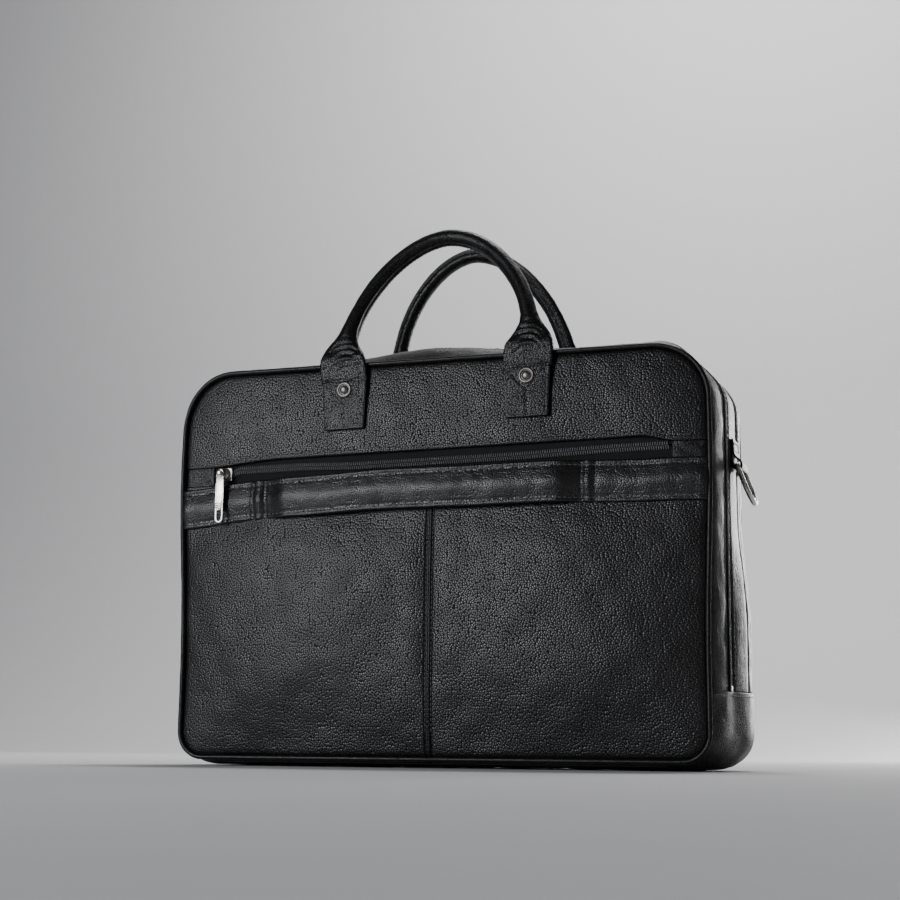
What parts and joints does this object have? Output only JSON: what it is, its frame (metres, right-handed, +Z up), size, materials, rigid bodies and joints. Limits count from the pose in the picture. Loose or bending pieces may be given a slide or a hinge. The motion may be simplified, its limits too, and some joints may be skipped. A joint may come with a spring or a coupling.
{
  "type": "leather briefcase",
  "caption": "Soft leather briefcase with rolled handles, two zipped compartments, a zipped back pocket and a trolley sleeve band.",
  "frame": {"origin": "centre of the flat base, under the middle of the case's width and depth", "axes": "+Z up, +X to the right as seen from the back panel with the trolley sleeve, -Y out of that panel"},
  "size_m": [0.4816, 0.1319, 0.4301],
  "materials": {
    "leather": "black pebbled full-grain leather, satin",
    "grip_leather": "black leather, finer grain, stretched round the grips",
    "piping": "smooth black leather piping",
    "lining": "dark grey woven lining",
    "board": "plain stiffener board",
    "zip": "black nylon coils on woven tape",
    "nickel": "polished nickel, lightly worn"
  },
  "bodies": {
    "case": {"base_gusset": "leather", "base_board": "board", "mid_gusset": "leather", "back_foot_panel": "leather", "front_panel": "leather", "front_side_gussets": "leather", "lower_piping": "piping", "divider": "lining", "laptop_sleeve": "lining", "laptop_strap": "lining", "organizer_pocket": "lining", "front_lining": "lining", "main_zip_case_half": "zip", "front_zip_case_half": "zip", "main_zip_stops": "nickel", "front_zip_stops": "nickel", "dring_tabs": "leather"},
    "back_cover": {"back_top_panel": "leather", "back_left_panel": "leather", "back_right_panel": "leather", "pocket_end_tabs": "leather", "pocket_zip": "zip", "pocket_zip_stops": "nickel", "pocket_lining": "lining", "trolley_band": "leather", "back_board": "board", "back_lining": "lining", "back_gusset": "leather", "back_piping": "piping", "main_zip_cover_half": "zip", "back_handle_tabs": "leather", "back_rivets": "nickel"},
    "front_cover": {"front_top_panel": "leather", "front_gusset": "leather", "front_piping": "piping", "front_zip_cover_half": "zip", "front_flap_lining": "lining", "front_handle_tabs": "leather", "front_rivets": "nickel"},
    "back_handle": {"back_handle": "grip_leather", "back_handle_core": "lining"},
    "front_handle": {"front_handle": "grip_leather", "front_handle_core": "lining"},
    "left_dring": {"left_dring": "nickel"},
    "right_dring": {"right_dring": "nickel"},
    "main_slider_left": {"main_slider_left": "nickel"},
    "main_pull_left": {"main_pull_left": "nickel"},
    "main_slider_right": {"main_slider_right": "nickel"},
    "main_pull_right": {"main_pull_right": "nickel"},
    "front_slider_left": {"front_slider_left": "nickel"},
    "front_pull_left": {"front_pull_left": "nickel"},
    "front_slider_right": {"front_slider_right": "nickel"},
    "front_pull_right": {"front_pull_right": "nickel"},
    "pocket_slider": {"pocket_slider": "nickel"},
    "pocket_pull": {"pocket_pull": "nickel"}
  },
  "joints": [
    {"name": "back_cover_fold", "type": "hinge", "parent": "case", "child": "back_cover", "pos_m": [0, -0.058, 0.057], "axis": [1, 0, 0], "range_deg": [0, 75]},
    {"name": "front_cover_fold", "type": "hinge", "parent": "case", "child": "front_cover", "pos_m": [0, 0.058, 0.221], "axis": [-1, 0, 0], "range_deg": [0, 35]},
    {"name": "back_handle_fold", "type": "hinge", "parent": "back_cover", "child": "back_handle", "pos_m": [0, -0.059, 0.323], "axis": [1, 0, 0], "range_deg": [-12, 104]},
    {"name": "front_handle_fold", "type": "hinge", "parent": "front_cover", "child": "front_handle", "pos_m": [0, 0.059, 0.323], "axis": [-1, 0, 0], "range_deg": [-12, 104]},
    {"name": "left_dring_swing", "type": "hinge", "parent": "case", "child": "left_dring", "pos_m": [-0.229, -0.002, 0.224], "axis": [0, 1, 0], "range_deg": [-14, 120]},
    {"name": "right_dring_swing", "type": "hinge", "parent": "case", "child": "right_dring", "pos_m": [0.229, -0.002, 0.224], "axis": [0, -1, 0], "range_deg": [-14, 120]},
    {"name": "main_slider_left_slide", "type": "slide", "parent": "back_cover", "child": "main_slider_left", "axis": [-1, 0, 0], "range_m": [0, 0.15]},
    {"name": "main_pull_left_lift", "type": "hinge", "parent": "main_slider_left", "child": "main_pull_left", "pos_m": [-0.009, -0.024, 0.326], "axis": [0, 1, 0], "range_deg": [0, 95]},
    {"name": "main_slider_right_slide", "type": "slide", "parent": "back_cover", "child": "main_slider_right", "axis": [1, 0, 0], "range_m": [0, 0.15]},
    {"name": "main_pull_right_lift", "type": "hinge", "parent": "main_slider_right", "child": "main_pull_right", "pos_m": [0.009, -0.024, 0.326], "axis": [0, -1, 0], "range_deg": [0, 95]},
    {"name": "front_slider_left_slide", "type": "slide", "parent": "front_cover", "child": "front_slider_left", "axis": [-1, 0, 0], "range_m": [0, 0.15]},
    {"name": "front_pull_left_lift", "type": "hinge", "parent": "front_slider_left", "child": "front_pull_left", "pos_m": [-0.009, 0.016, 0.326], "axis": [0, 1, 0], "range_deg": [0, 95]},
    {"name": "front_slider_right_slide", "type": "slide", "parent": "front_cover", "child": "front_slider_right", "axis": [1, 0, 0], "range_m": [0, 0.15]},
    {"name": "front_pull_right_lift", "type": "hinge", "parent": "front_slider_right", "child": "front_pull_right", "pos_m": [0.009, 0.016, 0.326], "axis": [0, -1, 0], "range_deg": [0, 95]},
    {"name": "pocket_slider_slide", "type": "slide", "parent": "back_cover", "child": "pocket_slider", "axis": [1, 0, 0], "range_m": [0, 0.36]},
    {"name": "pocket_pull_swing", "type": "hinge", "parent": "pocket_slider", "child": "pocket_pull", "pos_m": [-0.18, -0.06, 0.232], "axis": [0, 1, 0], "range_deg": [-60, 60]}
  ]
}
